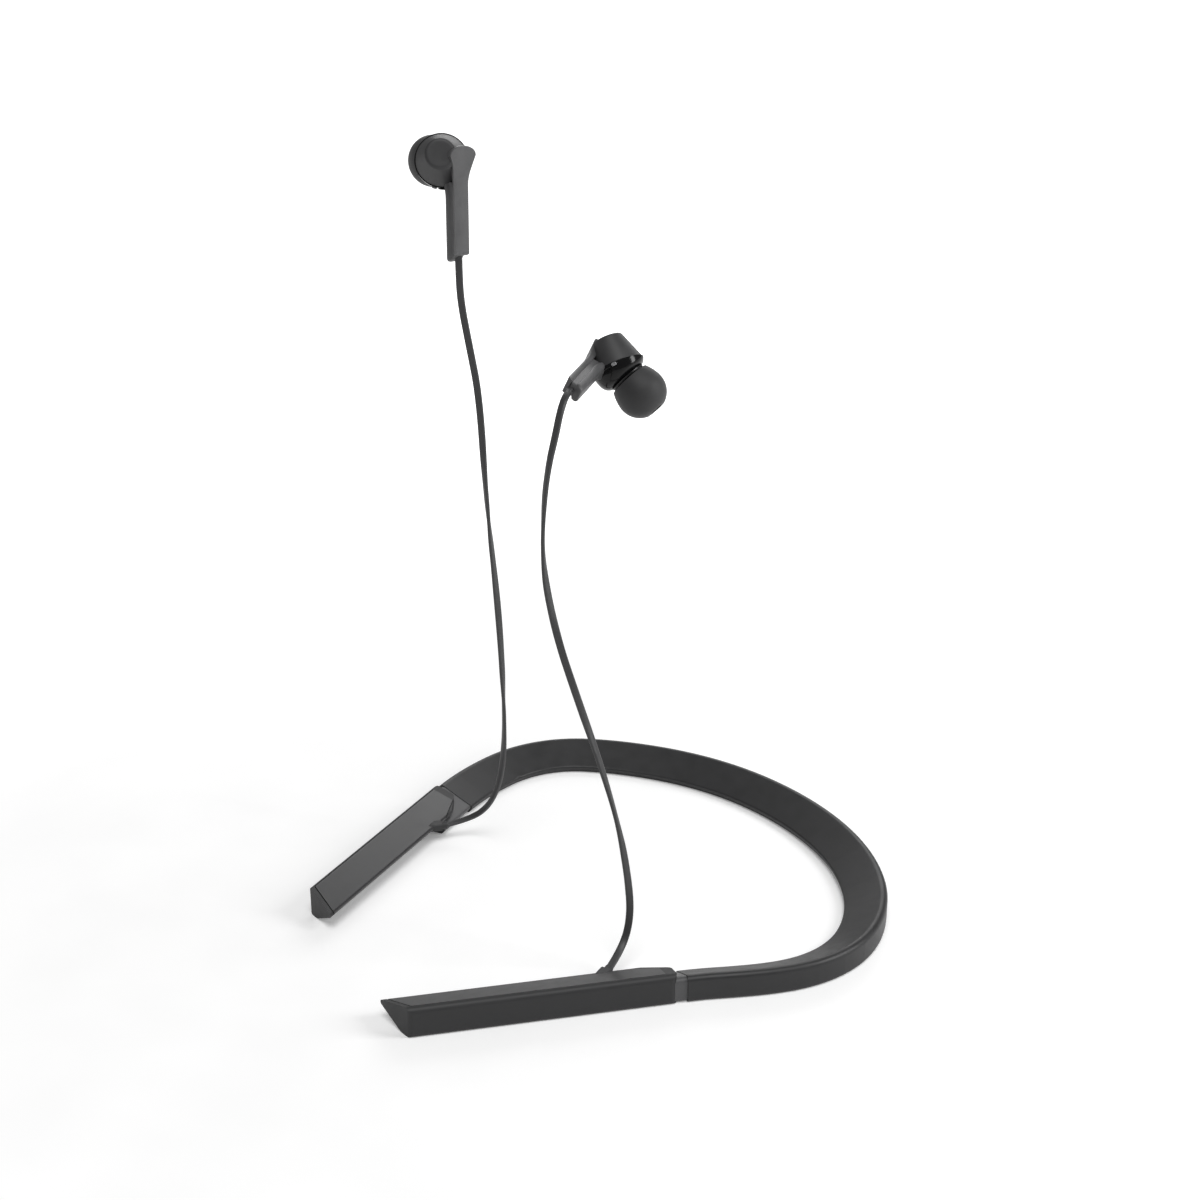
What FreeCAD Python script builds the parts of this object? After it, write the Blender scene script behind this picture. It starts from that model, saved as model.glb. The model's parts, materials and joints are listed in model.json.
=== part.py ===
import FreeCAD, Part
import math
import os

# Neckband earphones: a springy neckband, a housing on each of its ends and two wired earbuds.
# Millimetres. Z is up, the open end of the band looks along -Y, the wearer's left is +X.
# The origin lies on the floor, under the middle of the band.

# Neckband
arm_run = 65.1            # tip of a housing to the start of the flexible band, along its outer edge
left_tip = (35.7, -70.5)  # outer bottom corner of each housing's front end
right_tip = (-27.0, -65.7)
left_toe = 20.9           # degrees that each housing turns outwards from the Y axis
right_toe = 31.1
band_height = 7.5         # outer wall of the flexible band
band_width = 11.0         # its section across, from the outer wall to the inner edge
band_crease = 2.0         # height of its inner edge
band_edge_round = 1.3
band_bow = [(65.8, 5.2), (70.4, 20.4), (68.8, 36.0), (60.4, 50.2), (33.8, 67.8), (1.9, 72.9),
            (-29.9, 66.6), (-57.0, 49.1), (-67.4, 36.0), (-70.8, 20.4), (-67.6, 5.0)]
spring_wire = 1.2         # diameter
wire_bundle = 1.6         # diameter
core_clearance = 0.05
core_height = 2.9         # height of the two cores above the floor
spring_inset = 2.6        # distance of each core from the outer wall
bundle_inset = 5.4

# Housings on the band's ends
arm_height = 8.25
arm_width = 10.9
arm_inner_height = 4.6    # height of the inner edge, where the top and the underside meet
arm_foot = 3.0            # flat width of the underside
arm_edge_round = 1.4
tip_slant = 6.0           # how far the inner corner of the front end stands ahead of the outer one
end_round = 1.5
wall = 1.3
collar_show = 2.5         # width of the collar that shows between housing and band
collar_inset = 0.35       # how far the collar lies below the faces of the band
collar_tenon = 3.6
tail_width = 6.6          # width of the housing at its rear end
tail_run = 14.6           # length over which its inner edge runs in
tail_start = arm_run - tail_run

# Inlaid cover in the sloping top of each housing
cover_thickness = 1.2
cover_edge = 1.5          # margin to the outer edge and to the front end
cover_inner_edge = 0.6
groove = 0.16

# Cable outlet
outlet_setback = 18.1     # from the start of the band
outlet_along = arm_run - outlet_setback
outlet_turn = 40.0        # degrees that the outlet turns back from square
outlet_rise = 4.3
outlet_length = 3.0
outlet_width = 3.0
outlet_thickness = 2.0
outlet_clearance = 0.06
cable_width = 1.8

# Electronics
cell_radius = 1.8
cell_length = 34.8
cell_start = 9.0
cell_inset = 3.35
cell_rise = 3.2
guard_board = (1.0, 7.0, 2.6)    # protection board on the cell: thickness, length, height
board_inset = 2.9
board_thickness = 0.8
board_start = 6.0
board_gap = 2.9           # between the board's end and the charging socket
board_low = 1.7
board_high = 5.0
switch_size = (0.5, 2.4, 1.8)    # depth, length, height
button_places = (20.0, 29.0, 38.0)
button_names = ("volume_up_button", "play_button", "volume_down_button")
button_length = 6.4
button_height = 2.8
button_proud = 0.45
button_gap = 0.12
button_edge = 0.25
button_rise = 3.5
button_flange = 0.25
button_flange_margin = 0.45
button_travel = 0.25
plunger_radius = 0.6
play_dot = 0.25
can_size = (1.3, 11.0, 2.0)
can_start = 24.0
can_low = 2.5
microphone_along = 9.5
microphone_size = (1.0, 2.6, 1.9)
microphone_hole = 0.5
light_along = 14.5
light_radius = 0.6
light_clearance = 0.05
screw_radius = 0.5
screw_head = 1.0
screw_boss = 1.1
port_setback = 10.5       # from the start of the band
port_along = arm_run - port_setback
screw_setback = 9.6       # from the charging port
screw_places = (12.0, port_along - screw_setback)
port_size = (4.6, 7.4, 2.6)      # depth into the housing, length, height
port_opening = (3.8, 6.6, 1.6)
port_rise = 3.2
port_cover_size = (0.75, 8.6, 3.8)
port_cover_clearance = 0.12
port_cover_corner = 0.5
port_hinge_radius = 0.38
port_hinge_room = 0.25    # extra length of the recess behind the hinge

# Earbuds. In a bud's own frame X is square to the stem's plate, Z runs up the stem
# and the origin is the middle of the round front housing.
bud_radius = 6.7
bud_wall = 1.0
rear_axis = (-0.778, 0.518, -0.356)   # from the rear cap to the front
nozzle_axis = (-0.944, 0.293, -0.151)
rear_length = 7.3
rear_radius = 6.3
rear_cap_radius = 3.65
rear_cap_round = 0.7
front_cut = 3.1           # distance of the flat front face from the middle
driver_radius = 3.9
driver_start = -0.5       # front of the driver along the rear axis
driver_depth = 2.3
magnet_radius = 2.4
plate_face = 6.8          # X of the plate's outer face
stem_split = 5.5          # X of the joint between plate and stem
stem_back = 3.1
stem_middle = 1.1         # Y of the stem's middle
stem_width = 4.3
stem_groove = 0.5         # depth of the groove along the joint
stem_round = 1.1
plate_end_round = 0.55
back_end_round = 0.9
housing_gap = 0.03        # between the stem and the round housings
plate_head_width = 7.0
plate_head_corner = 3.3
plate_head_top = 5.5
plate_neck = -5.0         # Z where the head has narrowed to the stem's width
plate_bottom = -21.4
back_bottom = -23.6
cable_seat_x = 5.0
cable_seat_depth = 1.6
cable_clearance = 0.1
nozzle_flange_radius = 4.7
nozzle_flange = 0.8
nozzle_radius = 2.1
nozzle_lip = 2.3
nozzle_lip_length = 1.0
nozzle_bore = 1.5
nozzle_end = 12.2
mesh_thickness = 0.2
tip_bore = 2.4
tip_core = 3.1
tip_core_start = 4.8
tip_skirt_start = 4.2
tip_skirt_radius = 5.1
tip_radius = 6.2
tip_widest = 8.1
tip_end = 13.8
tip_end_radius = 2.6
tip_mouth = 1.9
tip_wall = 0.7

# Where each bud is: middle of the front housing, the way the plate looks, and the way up the stem
bud_poses = {
    "left": ((-1.1, 10.7, 137.0), (-0.6595, -0.6037, 0.448), (-0.6457, 0.76, 0.0736)),
    "right": ((-39.0, -14.5, 182.7), (0.9991, 0.0382, -0.0184), (0.0184, -0.0009, 0.9998)),
}

# Route of each flat cable, from its outlet to its stem
cable_routes = {
    "left": [(42.0, -20.5, 4.3), (38.3, -14.1, 5.8), (38.2, -11.7, 13.7), (37.3, -12.0, 24.0),
             (34.4, -12.6, 36.0), (28.7, -14.0, 50.5), (23.4, -17.0, 66.1), (18.4, -19.7, 81.4),
             (14.5, -20.8, 97.5), (13.8, -19.8, 112.0), (14.2, -18.6, 121.2), (14.4, -16.8, 127.9),
             (14.2, -15.4, 133.1), (11.88, -12.25, 136.36), (8.66, -8.44, 136.72)],
    "right": [(-42.1, -17.6, 4.3), (-39.9, -11.2, 5.3), (-34.2, -8.6, 11.0), (-29.0, -8.2, 19.8),
              (-26.0, -8.1, 32.4), (-25.0, -8.8, 51.6), (-25.6, -9.6, 74.0), (-28.0, -10.9, 100.2),
              (-31.2, -10.2, 125.7), (-33.1, -11.7, 138.8), (-34.7, -12.8, 149.1),
              (-34.52, -13.19, 156.74), (-34.43, -13.19, 161.74)],
}


def vec(x, y, z=0.0):
    return FreeCAD.Vector(x, y, z)


def outline(corners):
    """Closed wire in the XY plane through (x, y, radius) corners, each rounded by its radius."""
    count = len(corners)
    arcs = []
    for i, (x, y, radius) in enumerate(corners):
        here = vec(x, y)
        back = (vec(*corners[i - 1][:2]) - here).normalize()
        ahead = (vec(*corners[(i + 1) % count][:2]) - here).normalize()
        half = back.getAngle(ahead) / 2
        trim = radius / math.tan(half)
        middle = here + (back + ahead).normalize() * (radius / math.sin(half) - radius)
        arcs.append((here + back * trim, middle, here + ahead * trim, radius))
    edges = []
    for i, (start, middle, end, radius) in enumerate(arcs):
        if radius > 0:
            edges.append(Part.Arc(start, middle, end).toShape())
        following = arcs[(i + 1) % count][0]
        if end.distanceToPoint(following) > 1e-6:
            edges.append(Part.LineSegment(end, following).toShape())
    return Part.Wire(edges)


def prism_z(wire, low, high):
    solid = Part.Face(wire).extrude(vec(0, 0, high - low))
    solid.translate(vec(0, 0, low))
    return solid


def prism_y(wire, start, end):
    """Extrude a section drawn as (across, up) along Y."""
    solid = Part.Face(wire).extrude(vec(0, 0, end - start))
    solid.rotate(vec(0, 0), vec(1, 0), 90)
    solid.translate(vec(0, end))
    return solid


def prism_x(wire, start, end):
    """Extrude an outline drawn as (along, up) along X."""
    solid = Part.Face(wire).extrude(vec(0, 0, end - start))
    solid.Placement = FreeCAD.Placement(vec(start, 0), FreeCAD.Rotation(vec(1, 1, 1), 120))
    return solid


def box(x0, x1, y0, y1, z0, z1):
    return Part.makeBox(x1 - x0, y1 - y0, z1 - z0, vec(x0, y0, z0))


def rounded_box_x(x0, x1, y_middle, length, z_middle, height, radius):
    """A block along X whose outline in YZ has rounded corners."""
    y, z = length / 2, height / 2
    corners = [(-y, -z, radius), (y, -z, radius), (y, z, radius), (-y, z, radius)]
    solid = prism_x(outline(corners), x0, x1)
    solid.translate(vec(0, y_middle, z_middle))
    return solid


def half_space(point, normal, reach=60.0):
    """A block that fills the side of a plane that its normal points to."""
    block = Part.makeBox(2 * reach, 2 * reach, reach, vec(-reach, -reach, 0))
    block.Placement = FreeCAD.Placement(point, FreeCAD.Rotation(vec(0, 0, 1), normal))
    return block


def axes(origin, x_axis, y_axis, z_axis):
    """Placement that takes the three unit axes to the given ones."""
    rows = [[a.x, b.x, c.x, d.x] for a, b, c, d in [(x_axis, y_axis, z_axis, origin)]]
    rows += [[a.y, b.y, c.y, d.y] for a, b, c, d in [(x_axis, y_axis, z_axis, origin)]]
    rows += [[a.z, b.z, c.z, d.z] for a, b, c, d in [(x_axis, y_axis, z_axis, origin)]]
    return FreeCAD.Placement(FreeCAD.Matrix(*(rows[0] + rows[1] + rows[2] + [0, 0, 0, 1])))


def cylinder_x(x0, x1, y, z, radius):
    return Part.makeCylinder(radius, x1 - x0, vec(x0, y, z), vec(1, 0))


# The two sides

def arm_frame(side):
    """Where a housing's own X (inwards), Y (to the rear) and Z go; the left one is mirrored."""
    tip, toe = (left_tip, left_toe) if side == "left" else (right_tip, -right_toe)
    turn = math.radians(toe)
    along = vec(math.sin(turn), math.cos(turn))
    across = vec(math.cos(turn), -math.sin(turn))
    return vec(*tip), across, along


def put_arm(shape, side):
    origin, across, along = arm_frame(side)
    if side == "left":
        shape = shape.mirror(vec(0, 0), vec(1, 0))
    shape.Placement = axes(origin, across, along, vec(0, 0, 1)).multiply(shape.Placement)
    return shape


def put_bud(shape, side):
    middle, plate, up = (vec(*part) for part in bud_poses[side])
    up.normalize()
    across = up.cross(plate).normalize()
    if side == "left":
        shape = shape.mirror(vec(0, 0), vec(0, 1))
    shape.Placement = axes(middle, across.cross(up), across, up).multiply(shape.Placement)
    return shape


# Flexible band

def band_section(inset):
    """Wedge with an upright outer wall, a top that slopes inwards and a flat underside."""
    low = inset * 0.6
    return outline([(inset, low, 1.0),
                    (inset, band_height - inset, band_edge_round),
                    (band_width - inset, band_crease, 0.6),
                    (band_width - 1.2 - inset, low, 0.7)])


def arc_from(start, tangent, end):
    """Arc, as its middle and its turn, that leaves a point along a tangent and ends at another."""
    chord = end - start
    side = vec(-tangent.y, tangent.x)
    bend = 2 * chord.dot(side) / chord.dot(chord)
    if abs(bend) < 1e-6:
        bend = 1e-6
    turn = 2 * math.atan2(chord.dot(side), chord.dot(tangent))
    return start, tangent, start + side * (1 / bend), turn


def arc_pair(start, first, end, last):
    """Two arcs that join two points and have given unit tangents there."""
    across = end - start
    both = first + last
    bend = 2 * (1 - first.dot(last))
    along = across.dot(both)
    reach = across.dot(across) / (2 * along)
    if bend > 1e-9:
        reach = (math.sqrt(along * along + bend * across.dot(across)) - along) / bend
    joint = (start + end + (first - last) * reach) * 0.5
    meeting = (joint - start - first * reach).normalize()
    return [arc_from(start, first, joint), arc_from(joint, meeting, end)]


def band_arcs():
    """Arcs along the outer edge of the band, from the left housing to the right one."""
    ends = []
    for side in ("left", "right"):
        origin, across, along = arm_frame(side)
        ends.append((origin + along * arm_run, along))
    points = [ends[0][0]] + [vec(*point) for point in band_bow] + [ends[1][0]]
    run = [0.0]
    for before, point in zip(points, points[1:]):
        run.append(run[-1] + before.distanceToPoint(point))
    curve = Part.BSplineCurve()
    curve.interpolate(Points=points, Parameters=run, InitialTangent=ends[0][1],
                      FinalTangent=ends[1][1] * -1, Scale=False)
    tangents = [curve.tangent(place)[0] for place in run]
    arcs = []
    for i in range(len(points) - 1):
        arcs += arc_pair(points[i], tangents[i], points[i + 1], tangents[i + 1])
    return arcs


def sweep_band(wires):
    """Sweep a profile drawn as (inwards, up), with any bores after its outline, along the band."""
    faces = []
    arcs = band_arcs()
    for i, (start, tangent, middle, turn) in enumerate(arcs):
        face = Part.Face(wires)
        face.Placement = axes(start, vec(-tangent.y, tangent.x), vec(0, 0, 1), tangent)
        piece = face.revolve(middle, vec(0, 0, 1), math.degrees(turn))
        flat = [side for side in piece.Faces if is_section(side, middle)]
        flat.sort(key=lambda side: side.CenterOfMass.distanceToPoint(start))
        faces += [side for side in piece.Faces if not is_section(side, middle)]
        if i == 0:
            faces.append(flat[0])
        if i == len(arcs) - 1:
            faces.append(flat[-1])
    shell = Part.Shell(faces)
    shell.sewShape()
    return Part.Solid(shell)


def is_section(face, middle):
    """Whether a face is an end of an arc's piece: flat, upright and in line with its axis."""
    if not isinstance(face.Surface, Part.Plane):
        return False
    normal = face.normalAt(0, 0)
    out = face.CenterOfMass - middle
    return abs(normal.z) < 1e-6 and abs(normal.dot(vec(out.x, out.y).normalize())) < 1e-3


def circle_wire(x, y, radius):
    return Part.Wire([Part.makeCircle(radius, vec(x, y), vec(0, 0, 1))])


def make_band(nodes):
    spring_place = (spring_inset, core_height)
    bundle_place = (bundle_inset, core_height - 0.3)
    bores = [circle_wire(*spring_place, spring_wire / 2 + core_clearance),
             circle_wire(*bundle_place, wire_bundle / 2 + core_clearance)]
    nodes["band_sleeve"] = sweep_band([band_section(0.0)] + bores)
    nodes["band_spring_wire"] = sweep_band([circle_wire(*spring_place, spring_wire / 2)])
    nodes["band_wire_bundle"] = sweep_band([circle_wire(*bundle_place, wire_bundle / 2)])


# Housings

def top_height(x):
    """Height of a housing's sloping top at a distance from its outer wall."""
    return arm_height - (arm_height - arm_inner_height) * x / arm_width


def arm_form():
    """Outer form of a housing, with its cover in place."""
    section = outline([(0, 0, 1.0),
                       (0, arm_height, arm_edge_round),
                       (arm_width, arm_inner_height, 0.7),
                       (arm_foot, 0, 4.0)])
    rear = arm_run - collar_show
    reach = arm_width + 1.0
    slant = tip_slant * reach / arm_width
    plan = outline([(0, 0, end_round), (reach, -slant, end_round), (reach, tail_start, 3.0),
                    (tail_width, rear, end_round), (0, rear, end_round)])
    return prism_y(section, -slant - 1, rear + 1).common(prism_z(plan, -1, arm_height + 1))


def cover_plan(margin):
    """Outline of the cover seen from above; a margin makes its recess wider all round."""
    slope = tip_slant / arm_width
    outer = cover_edge - margin
    inner = arm_width - cover_inner_edge + margin
    front = cover_edge - 2 * margin
    rear = arm_run + margin
    return outline([(outer, front - slope * outer, 0.6), (inner, front - slope * inner, 0.6),
                    (inner, tail_start, 3.0), (tail_width - cover_inner_edge + margin, rear, 0.5),
                    (outer, rear, 0.5)])


def above_slope(depth):
    """Everything higher than a plane that lies a depth below the sloping top."""
    rise = math.atan2(arm_height - arm_inner_height, arm_width)
    normal = vec(math.sin(rise), 0, math.cos(rise))
    return half_space(vec(0, 0, arm_height) - normal * depth, normal)


def arm_cavity():
    inner = arm_width - 2.4
    roof = cover_thickness + 0.15
    section = outline([(wall, wall, 0.4), (wall, top_height(wall) - roof, 0.3),
                       (inner, top_height(inner) - roof, 0.3), (arm_foot + 0.9, wall, 1.5)])
    return prism_y(section, 2.0, tail_start - 6.0)


def tail_cavity():
    """Narrower room in the tapered rear, behind the cable outlet."""
    inner = tail_width - 1.6
    roof = cover_thickness + 0.15
    section = outline([(wall, wall, 0.4), (wall, top_height(wall) - roof, 0.3),
                       (inner, top_height(inner) - roof, 0.3), (inner, wall + 1.0, 0.3),
                       (arm_foot, wall, 0.3)])
    return prism_y(section, tail_start - 6.5, arm_run + 1)


def outlet_block(margin, length):
    """Block along the outlet's direction, from inside the housing."""
    y, z = outlet_width / 2 + margin, outlet_thickness / 2 + margin
    block = rounded_box_x(-3.2 - margin, length, 0, 2 * y, 0, 2 * z, 0.5)
    block.rotate(vec(0, 0), vec(0, 0, 1), outlet_turn)
    block.translate(vec(arm_width - 1.3, outlet_along, outlet_rise))
    return block


def make_grommet():
    """Rubber outlet: a block in the housing's notch and a nose that tapers to the cable."""
    nose = Part.makeCone(outlet_thickness / 2, cable_width / 2 + 0.15, 1.4,
                         vec(outlet_length - 1.4, 0, 0), vec(1, 0, 0))
    nose.rotate(vec(0, 0), vec(0, 0, 1), outlet_turn)
    nose.translate(vec(arm_width - 1.3, outlet_along, outlet_rise))
    return outlet_block(0.0, outlet_length - 1.4).fuse(nose).removeSplitter()


def make_collar(form):
    """Link between housing and band: the band's section, a little smaller, with a tenon."""
    skirt = prism_y(band_section(collar_inset), tail_start, arm_run).cut(form)
    start = arm_run - collar_show - collar_tenon
    tenon = box(wall + 0.1, tail_width - 1.8, start, arm_run - collar_show + 0.5,
                wall + 1.1, top_height(tail_width) - cover_thickness - 0.6)
    return skirt.fuse(tenon).removeSplitter()


def make_arm(side, nodes, shell_cuts, shell_adds):
    form = arm_form()
    recess = prism_z(cover_plan(groove), 0, arm_height + 2).common(above_slope(cover_thickness + 0.05))
    cover = form.common(prism_z(cover_plan(0.0), 0, arm_height + 2)).common(above_slope(cover_thickness))
    shell = form.cut(recess).cut(arm_cavity()).cut(tail_cavity())
    shell = shell.cut(outlet_block(outlet_clearance, 8.0))
    cover = cover.cut(outlet_block(outlet_clearance, 8.0))
    for add in shell_adds:
        shell = shell.fuse(add)
    for cut in shell_cuts:
        shell = shell.cut(cut)
    collar = make_collar(form)
    nodes[side + "_arm_shell"] = put_arm(shell, side)
    nodes[side + "_arm_cover"] = put_arm(cover, side)
    nodes[side + "_collar"] = put_arm(collar, side)
    nodes[side + "_cable_grommet"] = put_arm(make_grommet(), side)


def make_battery(nodes):
    cell = Part.makeCylinder(cell_radius, cell_length, vec(cell_inset, cell_start, cell_rise), vec(0, 1))
    nodes["battery"] = put_arm(cell, "left")
    thickness, length, height = guard_board
    start = cell_start + cell_length
    board = box(cell_inset - thickness / 2, cell_inset + thickness / 2, start, start + length,
                cell_rise - height / 2, cell_rise + height / 2)
    nodes["protection_board"] = put_arm(board, "left")


# Controls in the right housing

def button(place, with_dot):
    """Cap with a bevelled edge in the housing's wall, a flange that keeps it in and a plunger over the switch."""
    cap = rounded_box_x(-button_proud, wall + 0.05, place, button_length, button_rise, button_height, 0.9)
    cap = cap.makeChamfer(button_edge, [edge for edge in cap.Edges if edge.BoundBox.XMax < -button_proud + 0.01])
    margin = 2 * button_flange_margin
    flange = rounded_box_x(wall + 0.05, wall + 0.05 + button_flange, place, button_length + margin,
                           button_rise, button_height + margin - 0.5, 0.9)
    tip = board_inset - switch_size[0] - 0.05
    plunger = cylinder_x(wall, tip - button_travel, place, button_rise, plunger_radius)
    solid = cap.fuse(flange).fuse(plunger).removeSplitter()
    if with_dot:
        dot = Part.makeSphere(0.5, vec(-button_proud, place, button_rise))
        dot = dot.common(box(-button_proud - play_dot, 1, place - 2, place + 2, 0, 9))
        solid = solid.fuse(dot).removeSplitter()
    return solid


def button_hole(place):
    return rounded_box_x(-1, wall + 1, place, button_length + 2 * button_gap, button_rise,
                         button_height + 2 * button_gap, 0.9 + button_gap)


def port_parts():
    """Charging socket, its hinged cover, and what both cut out of the housing's wall."""
    depth, length, height = port_size
    opening_depth, opening_length, opening_height = port_opening
    thickness, cover_length, cover_height = port_cover_size
    clearance = port_cover_clearance
    face = thickness + clearance
    socket = rounded_box_x(face, face + depth, port_along, length, port_rise, height, 0.6)
    mouth = rounded_box_x(face - 1, face + opening_depth, port_along, opening_length,
                          port_rise, opening_height, 0.5)
    tongue = rounded_box_x(face + 1.2, face + opening_depth, port_along, 3.6, port_rise, 0.5, 0.2)
    socket = socket.cut(mouth).fuse(tongue)
    hinge_y = port_along + cover_length / 2 - port_hinge_radius
    flap = rounded_box_x(0, thickness, port_along - 0.3, cover_length - 0.6, port_rise, cover_height,
                         port_cover_corner)
    low, high = port_rise - cover_height / 2, port_rise + cover_height / 2
    roll = Part.makeCylinder(port_hinge_radius, cover_height - 0.8,
                             vec(port_hinge_radius, hinge_y, low + 0.4), vec(0, 0, 1))
    flap = flap.cut(box(-1, 2, hinge_y, hinge_y + 2, low - 1, high + 1)).fuse(roll).removeSplitter()
    pocket = rounded_box_x(-1, face, port_along + port_hinge_room / 2,
                           cover_length + 2 * clearance + port_hinge_room, port_rise,
                           cover_height + 2 * clearance, port_cover_corner + clearance)
    seat = rounded_box_x(0, face + depth + 0.05, port_along, length + 0.1, port_rise, height + 0.1, 0.6)
    return socket, flap, [pocket, seat]


def make_controls(nodes):
    cuts = [button_hole(place) for place in button_places]
    adds = []
    for name, place in zip(button_names, button_places):
        nodes[name] = put_arm(button(place, name == "play_button"), "right")

    board_x = board_inset
    board_end = port_along - port_size[1] / 2 - board_gap
    board = box(board_x, board_x + board_thickness, board_start, board_end, board_low, board_high)
    depth, length, height = switch_size
    switches = [rounded_box_x(board_x - depth, board_x, place, length, button_rise, height, 0.2)
                for place in button_places]
    nodes["tact_switches"] = put_arm(Part.makeCompound(switches), "right")
    screws = []
    for place in screw_places:
        adds.append(cylinder_x(wall - 0.3, board_x, place, button_rise, screw_boss))
        cuts.append(cylinder_x(wall - 0.1, board_x + 1, place, button_rise, screw_radius))
        board = board.cut(cylinder_x(board_x - 1, board_x + 2, place, button_rise, screw_radius))
        shank = cylinder_x(wall, board_x + board_thickness, place, button_rise, screw_radius)
        head_start = board_x + board_thickness
        head = cylinder_x(head_start, head_start + 0.6, place, button_rise, screw_head)
        slot = box(head_start + 0.3, head_start + 1, place - 2, place + 2,
                   button_rise - 0.12, button_rise + 0.12)
        screws.append(shank.fuse(head).cut(slot))
    nodes["control_board"] = put_arm(board, "right")
    nodes["board_screws"] = put_arm(Part.makeCompound(screws), "right")

    depth, length, height = can_size
    can_x = board_x + board_thickness
    can = box(can_x, can_x + depth, can_start, can_start + length, can_low, can_low + height)
    nodes["wireless_module"] = put_arm(can, "right")

    depth, length, height = microphone_size
    can = rounded_box_x(board_x - depth, board_x, microphone_along, length, button_rise, height, 0.2)
    nodes["microphone"] = put_arm(can, "right")
    cuts.append(cylinder_x(-1, wall + 1, microphone_along, button_rise, microphone_hole))

    pipe = cylinder_x(0.02, board_x - 0.1, light_along, button_rise, light_radius)
    nodes["status_light_pipe"] = put_arm(pipe, "right")
    cuts.append(cylinder_x(-1, wall + 1, light_along, button_rise, light_radius + light_clearance))

    socket, flap, port_cuts = port_parts()
    nodes["charging_socket"] = put_arm(socket, "right")
    nodes["port_cover"] = put_arm(flap, "right")
    return cuts + port_cuts, adds


# Earbuds

def revolve_on(axis, wire):
    """Solid of revolution about an axis through the bud's middle; the profile is (along, out)."""
    face = Part.Face(wire)
    solid = face.revolve(vec(0, 0), vec(1, 0), 360)
    solid.Placement = FreeCAD.Placement(vec(0, 0), FreeCAD.Rotation(vec(1, 0), vec(*axis)))
    return solid


def lathe(axis, points):
    """Revolve a closed run of straight lines through (along, out) points."""
    corners = [vec(a, r) for a, r in points]
    corners.append(corners[0])
    edges = [Part.LineSegment(a, b).toShape() for a, b in zip(corners, corners[1:])]
    return revolve_on(axis, Part.Wire(edges))


def rear_form(margin=0.0):
    """Cone of the rear housing, with a rounded edge at its cap; a margin makes it larger."""
    end = -rear_length - margin
    wire = outline([(0, 0, 0), (0, rear_radius + margin, 0),
                    (end, rear_cap_radius + margin, rear_cap_round), (end, 0, 0)])
    return revolve_on(rear_axis, wire)


def front_form(radius, cut):
    """Part of a sphere between the cone and the flat front face."""
    ball = Part.makeSphere(radius)
    ball = ball.cut(half_space(vec(0, 0), vec(*rear_axis) * -1))
    return ball.cut(half_space(vec(*nozzle_axis).normalize() * cut, vec(*nozzle_axis)))


def make_housings(nodes, side):
    rear_room = lathe(rear_axis, [(0, 0), (0, rear_radius - bud_wall),
                                  (-rear_length + bud_wall, rear_cap_radius - 0.8 * bud_wall),
                                  (-rear_length + bud_wall, 0)])
    front = front_form(bud_radius, front_cut)
    front = front.cut(front_form(bud_radius - bud_wall, front_cut - bud_wall))
    front = front.cut(lathe(nozzle_axis, [(0, 0), (0, nozzle_bore), (front_cut + 1, nozzle_bore),
                                          (front_cut + 1, 0)]))
    nodes[side + "_rear_housing"] = put_bud(rear_form().cut(rear_room), side)
    nodes[side + "_front_housing"] = put_bud(front, side)


def make_driver(nodes, side):
    front, back = driver_start, driver_start - driver_depth
    rim = 0.5
    frame = lathe(rear_axis, [(front, driver_radius), (back + 0.6, driver_radius),
                              (back, driver_radius - 0.6), (back, magnet_radius + 0.05),
                              (back + 0.6, magnet_radius + 0.05), (back + 0.6, driver_radius - rim - 0.5),
                              (front, driver_radius - rim)])
    magnet = lathe(rear_axis, [(front - 0.8, 0), (front - 0.8, magnet_radius),
                               (back - 0.5, magnet_radius), (back - 0.5, 0)])
    bulge = 0.5
    edge = driver_radius - rim - 0.25
    low = front - 0.7
    curve = [Part.LineSegment(vec(low, 0), vec(low + bulge, 0)).toShape(),
             Part.Arc(vec(low + bulge, 0), vec(low + bulge * 0.75, edge / 2), vec(low + 0.2, edge)).toShape(),
             Part.LineSegment(vec(low + 0.2, edge), vec(low, edge)).toShape(),
             Part.LineSegment(vec(low, edge), vec(low, 0)).toShape()]
    nodes[side + "_driver_frame"] = put_bud(frame, side)
    nodes[side + "_driver_magnet"] = put_bud(magnet, side)
    nodes[side + "_driver_diaphragm"] = put_bud(revolve_on(rear_axis, Part.Wire(curve)), side)


def plate_outline(inset, x):
    """Paddle: a straight stem that flares to a wide head with an arched top."""
    half = stem_width / 2 - inset
    head = plate_head_width / 2 - inset
    corner = plate_head_corner - inset
    low = back_bottom - 2
    flare_y = half + (head - half) * 0.36
    flare_z = plate_neck + (corner - plate_neck) * 0.58
    points = [vec(-half, low), vec(half, low), vec(half, plate_neck), vec(flare_y, flare_z),
              vec(head, corner), vec(0, plate_head_top - inset), vec(-head, corner),
              vec(-flare_y, flare_z), vec(-half, plate_neck)]
    edges = [Part.LineSegment(points[0], points[1]).toShape(),
             Part.LineSegment(points[1], points[2]).toShape(),
             Part.Arc(points[2], points[3], points[4]).toShape(),
             Part.Arc(points[4], points[5], points[6]).toShape(),
             Part.Arc(points[6], points[7], points[8]).toShape(),
             Part.LineSegment(points[8], points[0]).toShape()]
    wire = Part.Wire(edges)
    wire.Placement = axes(vec(x, stem_middle), vec(0, 1), vec(0, 0, 1), vec(1, 0))
    return wire


def end_height(x):
    """Height of the stem's slanted end at a distance from the bud's middle."""
    return back_bottom + (plate_bottom - back_bottom) * (x - stem_back) / (plate_face - stem_back)


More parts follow.
